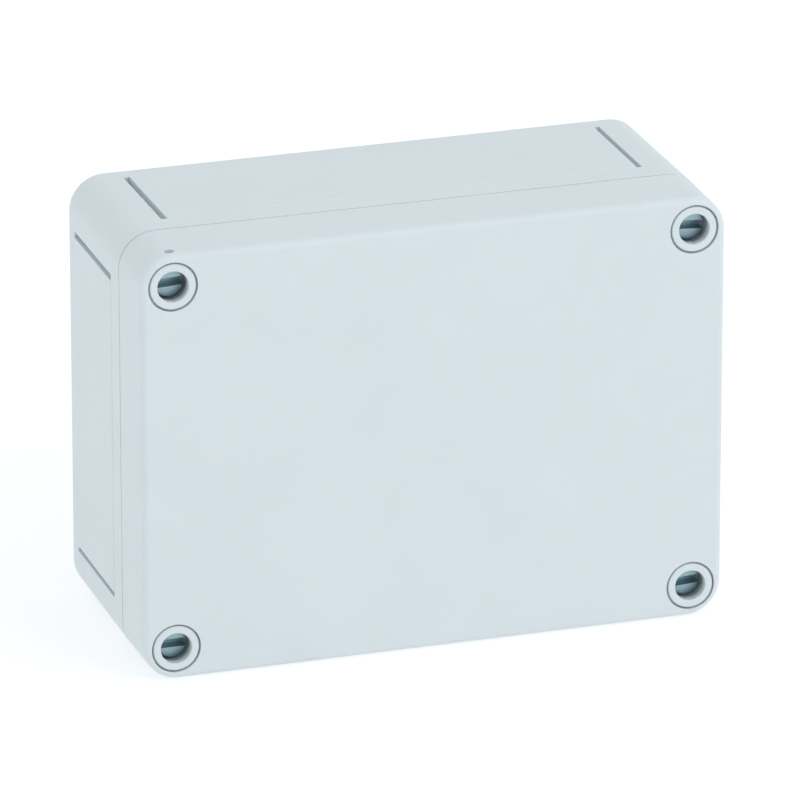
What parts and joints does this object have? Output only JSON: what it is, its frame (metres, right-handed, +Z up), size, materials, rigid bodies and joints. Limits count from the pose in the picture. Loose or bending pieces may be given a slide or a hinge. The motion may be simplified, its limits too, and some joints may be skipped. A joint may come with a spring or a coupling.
{
  "type": "plastic enclosure",
  "caption": "Sealed wall-mount plastic case for electronics: deep base with panelled walls, shallow gasketed lid, and slotted captive screws in flush corner sleeves.",
  "frame": {"origin": "middle of the case's footprint, at its lowest point", "axes": "+Z up along the case's height, +X along its width, -Y is the way the lid faces"},
  "size_m": [0.13, 0.055, 0.096],
  "materials": {
    "case_plastic": "satin light grey, finely eroded mould texture",
    "screw_steel": "zinc plated, satin",
    "gasket_rubber": "matt black",
    "washer_nylon": "natural, slightly translucent"
  },
  "bodies": {
    "base": {"base": "case_plastic", "fixing_plug_top_left": "case_plastic", "fixing_plug_top_right": "case_plastic", "fixing_plug_bottom_left": "case_plastic", "fixing_plug_bottom_right": "case_plastic"},
    "lid": {"lid": "case_plastic", "gasket": "gasket_rubber", "screw_sleeve_top_left": "case_plastic", "screw_sleeve_top_right": "case_plastic", "screw_sleeve_bottom_left": "case_plastic", "screw_sleeve_bottom_right": "case_plastic"},
    "washer_top_left": {"retaining_washer_top_left": "washer_nylon"},
    "screw_top_left": {"cover_screw_top_left": "screw_steel"},
    "washer_top_right": {"retaining_washer_top_right": "washer_nylon"},
    "screw_top_right": {"cover_screw_top_right": "screw_steel"},
    "washer_bottom_left": {"retaining_washer_bottom_left": "washer_nylon"},
    "screw_bottom_left": {"cover_screw_bottom_left": "screw_steel"},
    "washer_bottom_right": {"retaining_washer_bottom_right": "washer_nylon"},
    "screw_bottom_right": {"cover_screw_bottom_right": "screw_steel"}
  },
  "joints": [
    {"name": "lid_lift", "type": "slide", "parent": "base", "child": "lid", "axis": [0, -1, 0], "range_m": [0, 0.06]},
    {"name": "screw_top_left_travel", "type": "slide", "parent": "lid", "child": "washer_top_left", "axis": [0, -1, 0], "range_m": [0, 0.0063]},
    {"name": "screw_top_left_turn", "type": "hinge", "parent": "washer_top_left", "child": "screw_top_left", "pos_m": [-0.0577, -0.0175, 0.0887], "axis": [0, -1, 0], "range_deg": [0, 1260]},
    {"name": "screw_top_right_travel", "type": "slide", "parent": "lid", "child": "washer_top_right", "axis": [0, -1, 0], "range_m": [0, 0.0063]},
    {"name": "screw_top_right_turn", "type": "hinge", "parent": "washer_top_right", "child": "screw_top_right", "pos_m": [0.0577, -0.0175, 0.0887], "axis": [0, -1, 0], "range_deg": [0, 1260]},
    {"name": "screw_bottom_left_travel", "type": "slide", "parent": "lid", "child": "washer_bottom_left", "axis": [0, -1, 0], "range_m": [0, 0.0063]},
    {"name": "screw_bottom_left_turn", "type": "hinge", "parent": "washer_bottom_left", "child": "screw_bottom_left", "pos_m": [-0.0577, -0.0175, 0.0073], "axis": [0, -1, 0], "range_deg": [0, 1260]},
    {"name": "screw_bottom_right_travel", "type": "slide", "parent": "lid", "child": "washer_bottom_right", "axis": [0, -1, 0], "range_m": [0, 0.0063]},
    {"name": "screw_bottom_right_turn", "type": "hinge", "parent": "washer_bottom_right", "child": "screw_bottom_right", "pos_m": [0.0577, -0.0175, 0.0073], "axis": [0, -1, 0], "range_deg": [0, 1260]}
  ],
  "couplings": [
    {"joint": "screw_top_left_turn", "follows": "screw_top_left_travel", "rad_per_m": 3490.7},
    {"joint": "screw_top_right_turn", "follows": "screw_top_right_travel", "rad_per_m": 3490.7},
    {"joint": "screw_bottom_left_turn", "follows": "screw_bottom_left_travel", "rad_per_m": 3490.7},
    {"joint": "screw_bottom_right_turn", "follows": "screw_bottom_right_travel", "rad_per_m": 3490.7}
  ]
}
